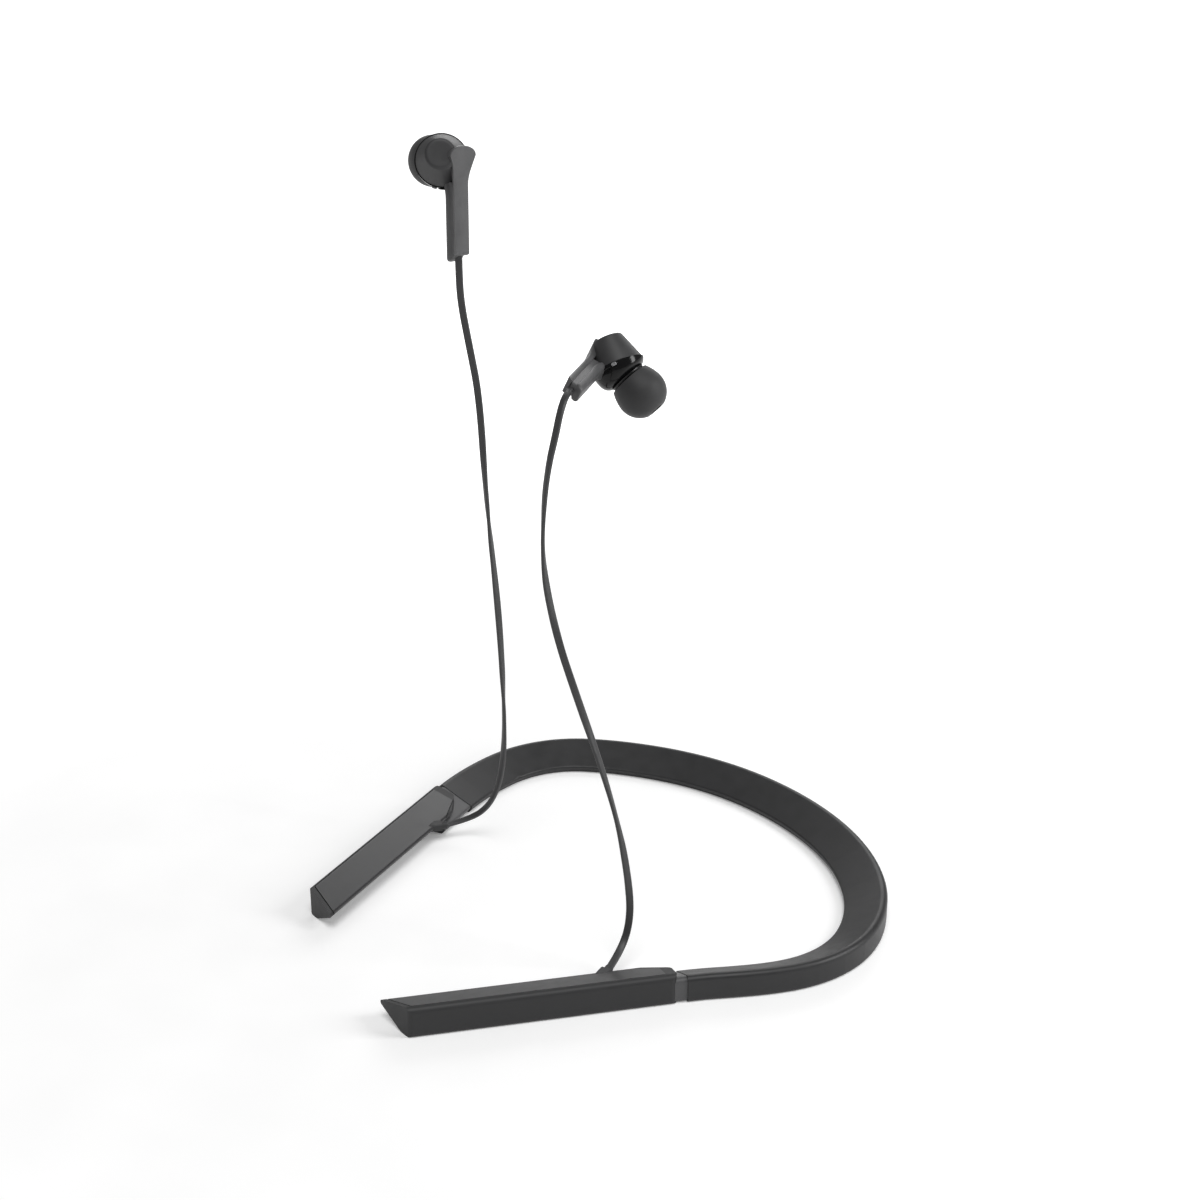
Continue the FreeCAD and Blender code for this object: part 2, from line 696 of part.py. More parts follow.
def stem_side(back, face, radius):
    """Outline, extruded across the stem, of one of its two halves, with a rounded end."""
    high = plate_head_top + 1
    wire = outline([(back, end_height(back), radius), (face, end_height(face), radius),
                    (face, high, 0), (back, high, 0)])
    return prism_y(wire, -plate_head_width, plate_head_width + stem_middle)


def cable_socket():
    """Hole in the stem's end that the cable goes into."""
    floor = -(cable_seat_drop())
    return Part.makeCylinder(cable_width / 2 + cable_clearance, 8,
                             vec(cable_seat_x, stem_middle, floor), vec(0, 0, -1))


def cable_seat_drop():
    """Depth below the bud's middle at which the cable ends, inside the stem."""
    return -end_height(cable_seat_x) - cable_seat_depth


def make_stem(nodes, side):
    body = rear_form(housing_gap).fuse(front_form(bud_radius + housing_gap, front_cut))
    plate = Part.makeLoft([plate_outline(0.0, plate_face), plate_outline(stem_groove, stem_split)],
                          True, True)
    plate = plate.common(stem_side(stem_split, plate_face, plate_end_round))
    plate = plate.cut(body).cut(cable_socket())
    half = stem_width / 2
    middle = (stem_split + stem_back) / 2
    section = outline([(stem_split, stem_middle - half + stem_groove, 0),
                       (middle, stem_middle - half, 0.4),
                       (stem_back, stem_middle - half, stem_round),
                       (stem_back, stem_middle + half, stem_round),
                       (middle, stem_middle + half, 0.4),
                       (stem_split, stem_middle + half - stem_groove, 0)])
    stem = prism_z(section, back_bottom - 2, plate_neck + 6)
    stem = stem.common(stem_side(stem_back, stem_split, back_end_round))
    stem = stem.cut(body).cut(cable_socket())
    stem = max(stem.Solids, key=lambda solid: solid.Volume)
    plate = max(plate.Solids, key=lambda solid: solid.Volume)
    nodes[side + "_stem_plate"] = put_bud(plate, side)
    nodes[side + "_stem_body"] = put_bud(stem, side)


def make_nozzle(nodes, side):
    start, end = front_cut, nozzle_end
    lip = end - nozzle_lip_length
    tube = lathe(nozzle_axis, [(start, nozzle_bore), (start, nozzle_flange_radius),
                               (start + nozzle_flange, nozzle_flange_radius - 0.3),
                               (start + nozzle_flange, nozzle_radius), (lip - 0.3, nozzle_radius),
                               (lip, nozzle_lip), (end - 0.3, nozzle_lip), (end, nozzle_lip - 0.4),
                               (end, nozzle_bore)])
    mesh = lathe(nozzle_axis, [(end - mesh_thickness, 0), (end - mesh_thickness, nozzle_bore - 0.02),
                               (end, nozzle_bore - 0.02), (end, 0)])
    nodes[side + "_nozzle"] = put_bud(tube, side)
    nodes[side + "_nozzle_mesh"] = put_bud(mesh, side)


def make_ear_tip(nodes, side):
    """Silicone dome, hollow at the back, around a core that grips the nozzle."""
    shoulder = 0.72
    rise = tip_widest + (tip_end - tip_widest) * shoulder
    bulge = tip_radius * 0.78
    inner = tip_radius - tip_wall
    root = tip_end - 2.4
    curve = [Part.LineSegment(vec(tip_end, tip_mouth), vec(tip_end, tip_end_radius)).toShape(),
             Part.Arc(vec(tip_end, tip_end_radius), vec(rise, bulge), vec(tip_widest, tip_radius)).toShape(),
             Part.Arc(vec(tip_widest, tip_radius),
                      vec((tip_widest + tip_skirt_start) / 2, tip_radius - 0.35),
                      vec(tip_skirt_start, tip_skirt_radius)).toShape(),
             Part.LineSegment(vec(tip_skirt_start, tip_skirt_radius),
                              vec(tip_skirt_start, tip_skirt_radius - 0.5)).toShape(),
             Part.Arc(vec(tip_skirt_start, tip_skirt_radius - 0.5),
                      vec((tip_widest + tip_skirt_start) / 2, inner - 0.3),
                      vec(tip_widest, inner)).toShape(),
             Part.Arc(vec(tip_widest, inner), vec(root - 1.0, inner - 0.9), vec(root, tip_core + 0.2)).toShape(),
             Part.LineSegment(vec(root, tip_core + 0.2), vec(root - 0.6, tip_core)).toShape(),
             Part.LineSegment(vec(root - 0.6, tip_core), vec(tip_core_start, tip_core)).toShape(),
             Part.LineSegment(vec(tip_core_start, tip_core), vec(tip_core_start, tip_bore)).toShape(),
             Part.LineSegment(vec(tip_core_start, tip_bore), vec(nozzle_end + 0.3, tip_bore)).toShape(),
             Part.LineSegment(vec(nozzle_end + 0.3, tip_bore), vec(nozzle_end + 0.3, tip_mouth)).toShape(),
             Part.LineSegment(vec(nozzle_end + 0.3, tip_mouth), vec(tip_end, tip_mouth)).toShape()]
    nodes[side + "_ear_tip"] = put_bud(revolve_on(nozzle_axis, Part.Wire(curve)), side)


# Cables

def cable_path(points):
    """Straight runs joined by tangent arcs, each as large as its two runs allow."""
    points = [vec(*point) for point in points]
    edges = []
    radii = []
    length = 0.0
    last = points[0]
    for before, here, after in zip(points, points[1:], points[2:]):
        back, ahead = (before - here), (after - here)
        shorter = min(back.Length, ahead.Length)
        back.normalize()
        ahead.normalize()
        turn = math.pi - back.getAngle(ahead)
        trim = 0.45 * shorter
        radius = trim / math.tan(turn / 2)
        start, end = here + back * trim, here + ahead * trim
        middle = here + (back + ahead).normalize() * (radius / math.cos(turn / 2) - radius)
        edges.append(Part.LineSegment(last, start).toShape())
        edges.append(Part.Arc(start, middle, end).toShape())
        length += last.distanceToPoint(start) + radius * turn
        radii.append(radius)
        last = end
    edges.append(Part.LineSegment(last, points[-1]).toShape())
    length += last.distanceToPoint(points[-1])
    return Part.Wire(edges), length, radii


def make_cable(nodes, side):
    path, length, radii = cable_path(cable_routes[side])
    first = path.Edges[0]
    profile = Part.Wire([Part.makeCircle(cable_width / 2, first.valueAt(first.FirstParameter),
                                         first.tangentAt(first.FirstParameter))])
    tube = path.makePipeShell([profile], True, False)
    section = math.pi * (cable_width / 2) ** 2
    print(side, "cable: length", round(length, 1), "radii", [round(radius, 1) for radius in radii],
          "volume", round(tube.Volume, 1), "section times length", round(section * length, 1))
    nodes[side + "_cable"] = tube


def main():
    nodes = {}
    make_band(nodes)
    cuts, adds = make_controls(nodes)
    make_arm("left", nodes, [], [])
    make_arm("right", nodes, cuts, adds)
    make_battery(nodes)
    for side in ("left", "right"):
        make_housings(nodes, side)
        make_driver(nodes, side)
        make_stem(nodes, side)
        make_nozzle(nodes, side)
        make_ear_tip(nodes, side)
        make_cable(nodes, side)
        grommet = nodes[side + "_cable_grommet"].cut(nodes[side + "_cable"])
        nodes[side + "_cable_grommet"] = max(grommet.Solids, key=lambda solid: solid.Volume)
    os.makedirs("parts", exist_ok=True)
    for name, shape in sorted(nodes.items()):
        shape.exportStep("parts/" + name + ".step")
        print(name, "solids", len(shape.Solids), "valid", shape.isValid(), "volume", round(shape.Volume, 1))
    whole = Part.makeCompound([shape for name, shape in nodes.items() if "cable" not in name])
    size = whole.BoundBox
    print("box", [round(value, 2) for value in (size.XMin, size.XMax, size.YMin, size.YMax, size.ZMin, size.ZMax)])
    return nodes


main()
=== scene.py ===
import json
import math

import bmesh
import bpy
from mathutils import Matrix, Vector


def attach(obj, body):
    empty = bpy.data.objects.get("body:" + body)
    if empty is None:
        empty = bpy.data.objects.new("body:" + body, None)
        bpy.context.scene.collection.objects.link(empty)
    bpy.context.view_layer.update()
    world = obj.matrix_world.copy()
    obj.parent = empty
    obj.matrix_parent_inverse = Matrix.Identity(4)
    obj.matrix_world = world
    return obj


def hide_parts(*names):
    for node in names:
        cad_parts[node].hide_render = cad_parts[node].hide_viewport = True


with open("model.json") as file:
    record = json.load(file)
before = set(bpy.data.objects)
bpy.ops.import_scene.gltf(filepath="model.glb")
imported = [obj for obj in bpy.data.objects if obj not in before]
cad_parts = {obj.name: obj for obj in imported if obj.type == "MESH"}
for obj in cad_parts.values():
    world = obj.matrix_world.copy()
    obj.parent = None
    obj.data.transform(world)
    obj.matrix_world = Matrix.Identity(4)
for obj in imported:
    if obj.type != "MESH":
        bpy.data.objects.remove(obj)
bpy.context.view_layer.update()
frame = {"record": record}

MM = 0.001

# Camera: where it looks, which way, how far off and how long its lens is
look_at = Vector((13.1, -3.9, 85.0)) * MM
look_along = Vector((-0.7775, 0.5168, -0.3584)).normalized()
camera_distance = 430 * MM
lens = 54.18

# Flat cables: section, and the route of each from its outlet to its stem, as in the solids
cable_width = 1.8
cable_thickness = 0.95
cable_routes = {
    "left": [(42.0, -20.5, 4.3), (38.3, -14.1, 5.8), (38.2, -11.7, 13.7), (37.3, -12.0, 24.0),
             (34.4, -12.6, 36.0), (28.7, -14.0, 50.5), (23.4, -17.0, 66.1), (18.4, -19.7, 81.4),
             (14.5, -20.8, 97.5), (13.8, -19.8, 112.0), (14.2, -18.6, 121.2), (14.4, -16.8, 127.9),
             (14.2, -15.4, 133.1), (11.88, -12.25, 136.36), (8.66, -8.44, 136.72)],
    "right": [(-42.1, -17.6, 4.3), (-39.9, -11.2, 5.3), (-34.2, -8.6, 11.0), (-29.0, -8.2, 19.8),
              (-26.0, -8.1, 32.4), (-25.0, -8.8, 51.6), (-25.6, -9.6, 74.0), (-28.0, -10.9, 100.2),
              (-31.2, -10.2, 125.7), (-33.1, -11.7, 138.8), (-34.7, -12.8, 149.1),
              (-34.52, -13.19, 156.74), (-34.43, -13.19, 161.74)],
}
# Turn of each cable's flat side about its run, in degrees, at even steps from outlet to stem
cable_twists = {
    "left": [0, 20, 70, 110, 90, 60, 40, 70, 120, 150, 170, 180],
    "right": [0, 30, 60, 30, -20, -40, -10, 40, 80, 90, 90, 90],
}

# Where each bud is, as in the solids: middle of the front housing, the way the plate looks, and up
bud_poses = {
    "left": ((-1.1, 10.7, 137.0), (-0.6595, -0.6037, 0.448), (-0.6457, 0.76, 0.0736)),
    "right": ((-39.0, -14.5, 182.7), (0.9991, 0.0382, -0.0184), (0.0184, -0.0009, 0.9998)),
}
# A bud's own axes, and its sizes in millimetres: x runs to the plate's face, y across and z up
rear_axis = Vector((-0.778, 0.518, -0.356)).normalized()
nozzle_axis = Vector((-0.944, 0.293, -0.151)).normalized()
ball_radius = 6.5         # glossy front of the housing
ball_front = 4.1          # from its middle to its flattened front
ball_bulge = 2.9          # how square its shoulder is, 2 being round
rim_radius = 6.3          # cone behind it, from its rim to its cap
cap_radius = 3.65
cone_length = 7.3
cone_round = 0.9
stem_middle = 1.1         # the stem's middle, sideways of the bud's middle
stem_half = 2.05          # half the stem plate's width
plate_back = 5.5          # stem plate, from its back to its face
plate_face = 6.8
plate_neck = -5.0         # where the head starts to widen
plate_bottom = -21.4
plate_slant = 0.595       # drop of the stem's end for each millimetre towards its back
plate_round = 0.55        # rounding of the plate's end
head_half = 3.6           # the plate's head
head_corner = 2.1
head_top = 4.3
head_bow = 1.25           # how far it stands out over the cone
body_back = 2.2           # stem behind the plate
body_corner = 1.1
body_half = 2.1
body_waist = 4.0          # where it draws in beside the plate
waist_half = 1.5
# Steps from the full width to the waist: along x from the waist, and over its half width
waist_blend = ((-0.25, 0.6), (-0.05, 0.48), (0.15, 0.1), (0.4, 0.0))
# Rounded end of the stem's back: how far it draws in, and how far above its foot
body_end = ((0.45, 0.0), (0.25, 0.08), (0.11, 0.28), (0.03, 0.6), (0.0, 0.95))
flare_start = plate_neck - 3.5
flare_end = plate_neck + 0.5
flare_reach = 1.6         # how far the stem's back spreads under the housing
rib_along = 0.75          # ridge on the glossy front, in front of the cone's rim
rib_radius = 6.62
rib_size = 0.3
rib_angles = (-5, 70)     # about the cone's axis
vent_angle = 78           # vent at the ridge's end
vent_along = 0.5
# Layers of the vent: distance from the cone's axis, half its length and half its width
vent_layers = ((6.2, 0.62, 0.42), (6.74, 0.62, 0.42), (6.82, 0.54, 0.34))


# Materials

def colour(hex_code):
    """Linear colour of a #rrggbb code."""
    parts = [int(hex_code[i:i + 2], 16) / 255 for i in (1, 3, 5)]
    linear = [part / 12.92 if part <= 0.04045 else ((part + 0.055) / 1.055) ** 2.4 for part in parts]
    return (*linear, 1.0)


def shade(rgba, factor):
    """The same colour made lighter or darker."""
    return (rgba[0] * factor, rgba[1] * factor, rgba[2] * factor, 1.0)


class Nodes:
    """Adds and links the nodes of one material."""

    def __init__(self, name):
        self.material = bpy.data.materials.new(name)
        self.material.use_nodes = True
        self.tree = self.material.node_tree
        self.shader = self.tree.nodes["Principled BSDF"]
        self.place = self.add("ShaderNodeTexCoord").outputs["Object"]

    def add(self, kind, **values):
        node = self.tree.nodes.new(kind)
        for key, value in values.items():
            setattr(node, key, value)
        return node

    def link(self, start, end):
        self.tree.links.new(start, end)

    def noise(self, size_mm, detail=2.0, rough=0.5):
        node = self.add("ShaderNodeTexNoise")
        node.inputs["Scale"].default_value = 1.0 / (size_mm * MM)
        node.inputs["Detail"].default_value = detail
        node.inputs["Roughness"].default_value = rough
        self.link(self.place, node.inputs["Vector"])
        return node.outputs["Fac"]

    def ramp(self, factor, stops):
        node = self.add("ShaderNodeValToRGB")
        ramp = node.color_ramp
        while len(ramp.elements) < len(stops):
            ramp.elements.new(0.5)
        for element, (at, value) in zip(ramp.elements, stops):
            element.position = at
            element.color = value if isinstance(value, tuple) else (value, value, value, 1)
        self.link(factor, node.inputs["Fac"])
        return node.outputs["Color"]

    def bump(self, height, strength, depth_mm):
        node = self.add("ShaderNodeBump")
        node.inputs["Strength"].default_value = strength
        node.inputs["Distance"].default_value = depth_mm * MM
        self.link(height, node.inputs["Height"])
        return node.outputs["Normal"]

    def edge(self, width_mm):
        """Close to 1 along sharp edges and 0 elsewhere."""
        bevel = self.add("ShaderNodeBevel", samples=4)
        bevel.inputs["Radius"].default_value = width_mm * MM
        plain = self.add("ShaderNodeNewGeometry")
        product = self.add("ShaderNodeVectorMath", operation="DOT_PRODUCT")
        self.link(bevel.outputs["Normal"], product.inputs[0])
        self.link(plain.outputs["Normal"], product.inputs[1])
        return self.ramp(product.outputs["Value"], [(0.80, 1.0), (0.995, 0.0)])

    def mix(self, factor, first, second):
        node = self.add("ShaderNodeMix", data_type="RGBA")
        self.link(factor, node.inputs["Factor"])
        for value, socket in ((first, node.inputs[6]), (second, node.inputs[7])):
            if isinstance(value, tuple):
                socket.default_value = value
            else:
                self.link(value, socket)
        return node.outputs[2]


def moulded(name, tone, roughness, grain=0.12, grain_depth=0.01, grain_strength=0.5, patch=4.0,
            spread=0.12, edge_wear_and_highlight=1.35, sheen=0.0, coat=0.0, specular=0.5):
    """Moulded plastic or rubber: fine grain, soft patches of tone, and sharp edges lightened, partly as
    wear and partly as a painted highlight.
    """
    nodes = Nodes(name)
    patches = nodes.noise(patch, 3.0, 0.6)
    base = nodes.ramp(patches, [(0.3, shade(tone, 1 - spread)), (0.7, shade(tone, 1 + spread))])
    speck = nodes.noise(grain * 2.2, 2.0, 0.7)
    base = nodes.mix(nodes.ramp(speck, [(0.35, 0.0), (0.7, 0.35)]), base, shade(tone, 1 + 1.6 * spread))
    # Sharp edges lightened by a factor: partly wear, partly a painted highlight for the light caught along
    # the rims.
    worn_and_highlit_edge = nodes.edge(0.25)
    base = nodes.mix(worn_and_highlit_edge, base, shade(tone, edge_wear_and_highlight))
    nodes.link(base, nodes.shader.inputs["Base Color"])
    rough = nodes.ramp(patches, [(0.25, roughness - 0.05), (0.75, roughness + 0.05)])
    nodes.link(rough, nodes.shader.inputs["Roughness"])
    fine = nodes.noise(grain, 3.0, 0.6)
    nodes.link(nodes.bump(fine, grain_strength, grain_depth), nodes.shader.inputs["Normal"])
    nodes.shader.inputs["Specular IOR Level"].default_value = specular
    nodes.shader.inputs["Sheen Weight"].default_value = sheen
    nodes.shader.inputs["Sheen Roughness"].default_value = 0.4
    nodes.shader.inputs["Coat Weight"].default_value = coat
    nodes.shader.inputs["Coat Roughness"].default_value = 0.06
    return nodes.material


def metal(name, tone, roughness):
    """Bare metal with fine scratches."""
    nodes = Nodes(name)
    scratches = nodes.noise(0.15, 4.0, 0.7)
    nodes.link(nodes.ramp(scratches, [(0.3, shade(tone, 0.85)), (0.7, shade(tone, 1.1))]),
               nodes.shader.inputs["Base Color"])
    nodes.link(nodes.ramp(scratches, [(0.3, roughness - 0.06), (0.7, roughness + 0.08)]),
               nodes.shader.inputs["Roughness"])
    nodes.link(nodes.bump(scratches, 0.2, 0.005), nodes.shader.inputs["Normal"])
    nodes.shader.inputs["Metallic"].default_value = 1.0
    return nodes.material


def mesh_cloth(name, tone, pitch):
    """Woven steel mesh: round wires, with painted shade darkening the holes between them."""
    nodes = Nodes(name)
    waves = []
    for direction in ("X", "Z"):
        wave = nodes.add("ShaderNodeTexWave", wave_type="BANDS", bands_direction=direction)
        wave.inputs["Scale"].default_value = 0.314 / (pitch * MM)
        nodes.link(nodes.place, wave.inputs["Vector"])
        waves.append(wave.outputs["Fac"])
    top = nodes.add("ShaderNodeMath", operation="MAXIMUM")
    nodes.link(waves[0], top.inputs[0])
    nodes.link(waves[1], top.inputs[1])
    # The holes between the wires are painted near black: painted shade of the hollow behind the mesh.
    base = nodes.ramp(top.outputs[0], [(0.35, shade(tone, 0.05)), (0.6, tone)])
    nodes.link(base, nodes.shader.inputs["Base Color"])
    nodes.link(nodes.bump(top.outputs[0], 0.8, 0.05), nodes.shader.inputs["Normal"])
    nodes.shader.inputs["Metallic"].default_value = 0.9
    nodes.shader.inputs["Roughness"].default_value = 0.4
    return nodes.material


def circuit(name, tone):
    """Solder mask over copper tracks, with small pads."""
    nodes = Nodes(name)
    cells = nodes.add("ShaderNodeTexVoronoi", distance="CHEBYCHEV")
    cells.inputs["Scale"].default_value = 1.0 / (1.4 * MM)
    nodes.link(nodes.place, cells.inputs["Vector"])
    tracks = nodes.ramp(cells.outputs["Distance"], [(0.34, 0.0), (0.38, 1.0)])
    base = nodes.mix(tracks, tone, shade(tone, 1.7))
    pads = nodes.ramp(cells.outputs["Distance"], [(0.10, 1.0), (0.13, 0.0)])
    base = nodes.mix(pads, base, colour("#c9c2a8"))
    nodes.link(base, nodes.shader.inputs["Base Color"])
    nodes.link(nodes.bump(tracks, 0.3, 0.02), nodes.shader.inputs["Normal"])
    nodes.shader.inputs["Roughness"].default_value = 0.35
    return nodes.material


def glass_like(name, tone):
    """Clear light pipe."""
    nodes = Nodes(name)
    haze = nodes.noise(0.4)
    nodes.link(nodes.ramp(haze, [(0.3, shade(tone, 0.9)), (0.7, tone)]), nodes.shader.inputs["Base Color"])
    nodes.link(nodes.ramp(haze, [(0.3, 0.12), (0.7, 0.22)]), nodes.shader.inputs["Roughness"])
    nodes.shader.inputs["Transmission Weight"].default_value = 0.5
    return nodes.material


# The edge factor in these finishes lightens sharp edges: partly wear, partly painted highlight.
finishes = {
    "band_rubber": moulded("band_rubber", colour("#262627"), 0.44, 0.14, 0.012, 0.6),
    "arm_rubber": moulded("arm_rubber", colour("#272728"), 0.52, 0.14, 0.012, 0.6),
    "cover_plastic": moulded("cover_plastic", colour("#333334"), 0.34, 0.10, 0.006, 0.4, edge_wear_and_highlight=1.6),
    "collar_plastic": moulded("collar_plastic", colour("#4c4c4d"), 0.40, 0.12, 0.006, 0.4),
    "grommet_rubber": moulded("grommet_rubber", colour("#303031"), 0.55),
    "cable_jacket": moulded("cable_jacket", colour("#3c3c3d"), 0.42, 0.16, 0.008, 0.4, patch=7.0),
    "bud_matte": moulded("bud_matte", colour("#363637"), 0.50, 0.11, 0.012, 0.7),
    "bud_gloss": moulded("bud_gloss", colour("#0a0a0b"), 0.14, 0.3, 0.002, 0.1, spread=0.05,
                         specular=0.3),
    "stem_plate": moulded("stem_plate", colour("#565657"), 0.36, 0.10, 0.004, 0.3, edge_wear_and_highlight=1.7),
    "stem_matte": moulded("stem_matte", colour("#525253"), 0.42, 0.11, 0.010, 0.5, edge_wear_and_highlight=1.6),
    "nozzle_plastic": moulded("nozzle_plastic", colour("#1c1c1d"), 0.35),
    "tip_silicone": moulded("tip_silicone", colour("#2c2c2d"), 0.62, 0.10, 0.012, 0.6, sheen=0.25),
    "driver_plastic": moulded("driver_plastic", colour("#55565a"), 0.45),
    "diaphragm_film": moulded("diaphragm_film", colour("#b39a63"), 0.25, coat=0.4),
    "wire_insulation": moulded("wire_insulation", colour("#7a2a24"), 0.45),
    "cell_wrap": moulded("cell_wrap", colour("#8d9196"), 0.35, coat=0.3),
    "port_rubber": moulded("port_rubber", colour("#363637"), 0.56),
    "button_rubber": moulded("button_rubber", colour("#3b3b3c"), 0.50, edge_wear_and_highlight=1.5),
    "circuit_board": circuit("circuit_board", colour("#1d4a2c")),
    "light_pipe": glass_like("light_pipe", colour("#d8dadd")),
    "nozzle_steel": mesh_cloth("nozzle_steel", colour("#9a9a9c"), 0.22),
    "magnet": metal("magnet", colour("#b9babd"), 0.22),
    "spring_steel": metal("spring_steel", colour("#a9a9ab"), 0.3),
    "tinned_steel": metal("tinned_steel", colour("#c4c4c2"), 0.34),
    "switch_metal": metal("switch_metal", colour("#b5b5b3"), 0.36),
    "port_metal": metal("port_metal", colour("#9fa0a2"), 0.3),
    "screw_steel": metal("screw_steel", colour("#58585a"), 0.35),
}
slots = {part["node"]: part["material_slot"] for part in frame["record"]["subparts"]}


def dress(piece, slot):
    """Give a piece of the scene the finish of a slot."""
    piece.data.materials.clear()
    piece.data.materials.append(finishes[slot])


def smooth(mesh, angle):
    """Shade a mesh smooth except across edges sharper than an angle."""
    for face in mesh.polygons:
        face.use_smooth = True
    mesh.set_sharp_from_angle(angle=math.radians(angle))


def new_object(name, data):
    """Object in the scene that holds a mesh, lamp or camera."""
    made = bpy.data.objects.new(name, data)
    bpy.context.collection.objects.link(made)
    return made


for name, slot in slots.items():
    solid = bpy.data.objects.get(name)
    if solid is not None and solid.type == "MESH":
        for index in range(len(solid.material_slots)):
            solid.material_slots[index].material = finishes[slot]
        if not solid.material_slots:
            solid.data.materials.append(finishes[slot])


# Cables

def spline_points(name, points):
    """Points along the smooth line through a cable's route."""
    curve = bpy.data.curves.new(name + "_line", "CURVE")
    curve.dimensions = "3D"
    curve.resolution_u = 14
    spline = curve.splines.new("NURBS")
    spline.points.add(len(points) - 1)
    for point, place in zip(spline.points, points):
        point.co = (*[value * MM for value in place], 1.0)
    spline.order_u = 3
    spline.use_endpoint_u = True
    carrier = bpy.data.objects.new(name + "_line", curve)
    mesh = bpy.data.meshes.new_from_object(carrier)
    line = [vertex.co.copy() for vertex in mesh.vertices]
    bpy.data.objects.remove(carrier)
    bpy.data.curves.remove(curve)
    bpy.data.meshes.remove(mesh)
    return line


def flat_section(width, thickness, count=20):
    """Rounded flat section, as (across, out) points in metres."""
    ring = []
    for i in range(count):
        angle = 2 * math.pi * i / count
        c, s = math.cos(angle), math.sin(angle)
        ring.append((math.copysign(abs(c) ** 0.55, c) * width * MM / 2,
                     math.copysign(abs(s) ** 0.55, s) * thickness * MM / 2))
    return ring


def twist_at(turns, share):
    """Turn at a share of a cable's length, eased between the listed ones."""
    place = share * (len(turns) - 1)
    index = min(int(place), len(turns) - 2)
    part = place - index
    part = part * part * (3 - 2 * part)
    return math.radians(turns[index] * (1 - part) + turns[index + 1] * part)


def flat_cable(side):
    """Flat cable along its route, with its twist."""
    name = side + "_flat_cable"
    line = spline_points(name, cable_routes[side])
    ring = flat_section(cable_width, cable_thickness)
    across = Vector((0, 0, 1)).cross(line[1] - line[0]).normalized()
    lengths = [0.0]
    for before, point in zip(line, line[1:]):
        lengths.append(lengths[-1] + (point - before).length)
    verts = []
    for i, point in enumerate(line):
        ahead = (line[min(i + 1, len(line) - 1)] - line[max(i - 1, 0)]).normalized()
        across = (across - ahead * across.dot(ahead)).normalized()
        up = ahead.cross(across)
        turn = twist_at(cable_twists[side], lengths[i] / lengths[-1])
        a = across * math.cos(turn) + up * math.sin(turn)
        b = up * math.cos(turn) - across * math.sin(turn)
        verts += [point + a * x + b * y for x, y in ring]
    count = len(ring)
    faces = []
    for i in range(len(line) - 1):
        for j in range(count):
            k = (j + 1) % count
            faces.append((i * count + j, i * count + k, (i + 1) * count + k, (i + 1) * count + j))
    faces.append(tuple(range(count))[::-1])
    faces.append(tuple((len(line) - 1) * count + j for j in range(count)))
    mesh = bpy.data.meshes.new(name)
    mesh.from_pydata(verts, [], faces)
    mesh.update()
    smooth(mesh, 60)
    piece = new_object(name, mesh)
    dress(piece, "cable_jacket")
    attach(piece, "root")
    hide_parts(side + "_cable")


for side in ("left", "right"):
    flat_cable(side)


# Earbuds

def bud_place(side):
    """Takes a bud's own millimetres to metres in the scene."""
    middle, plate, up = (Vector(part) for part in bud_poses[side])
    up.normalize()
    across = up.cross(plate).normalized()
    plate = across.cross(up)
    if side == "left":
        across = -across
    turn = Matrix((plate, across, up)).transposed().to_4x4()
    return Matrix.Translation(middle * MM) @ turn @ Matrix.Scale(MM, 4)


def add_piece(name, bm, side, slot, nodes, angle=32):
    """Put a form built in a bud's own millimetres in its place, over the solids it stands for."""
    bm.transform(bud_place(side))
    bmesh.ops.recalc_face_normals(bm, faces=bm.faces)
    mesh = bpy.data.meshes.new(name)
    bm.to_mesh(mesh)
    bm.free()
    smooth(mesh, angle)
    piece = new_object(name, mesh)
    dress(piece, slot)
    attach(piece, "root")
    if nodes:
        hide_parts(*nodes)


def skin(bm, rings):
    """Faces between rings of points, and over an end that isn't one point."""
    for first, second in zip(rings, rings[1:]):
        count = max(len(first), len(second))
        for i in range(count):
            k = (i + 1) % count
            corners = [first[i % len(first)], first[k % len(first)],
                       second[k % len(second)], second[i % len(second)]]
            bm.faces.new(list(dict.fromkeys(corners)))
    for end in (rings[0], rings[-1]):
        if len(end) > 1:
            bm.faces.new(end)


def turned(profile, axis, count=96):
    """Form turned about an axis through the bud's middle, from (along, out) points."""
    bm = bmesh.new()
    turn = Vector((1, 0, 0)).rotation_difference(axis).to_matrix()
    rings = []
    for along, out in profile:
        if out < 1e-6:
            rings.append([bm.verts.new(turn @ Vector((along, 0, 0)))])
            continue
        ring = []
        for i in range(count):
            angle = 2 * math.pi * i / count
            place = Vector((along, out * math.cos(angle), out * math.sin(angle)))
            ring.append(bm.verts.new(turn @ place))
        rings.append(ring)
    skin(bm, rings)
    return bm


def trim(bm, point, normal):
    """Cut away everything ahead of a plane and close the cut."""
    parts = bm.verts[:] + bm.edges[:] + bm.faces[:]
    cut = bmesh.ops.bisect_plane(bm, geom=parts, plane_co=point, plane_no=normal, clear_outer=True)
    rim = [part for part in cut["geom_cut"] if isinstance(part, bmesh.types.BMEdge)]
    if rim:
        bmesh.ops.contextual_create(bm, geom=rim)


def glossy_front(side):
    """Round glossy housing, flattened a little towards the nozzle."""
    steps = 40
    profile = []
    for i in range(steps + 1):
        angle = math.pi * i / steps
        along, out = -math.cos(angle), math.sin(angle)
        if along > 0:
            along = ball_front * (1 - max(0.0, out) ** ball_bulge) ** (1 / ball_bulge)
        else:
            along *= ball_radius
        profile.append((along, ball_radius * out))
    bm = turned(profile, nozzle_axis)
    trim(bm, Vector((0, 0, 0)), -rear_axis)
    add_piece(side + "_glossy_front", bm, side, "bud_gloss", [side + "_front_housing"], 50)


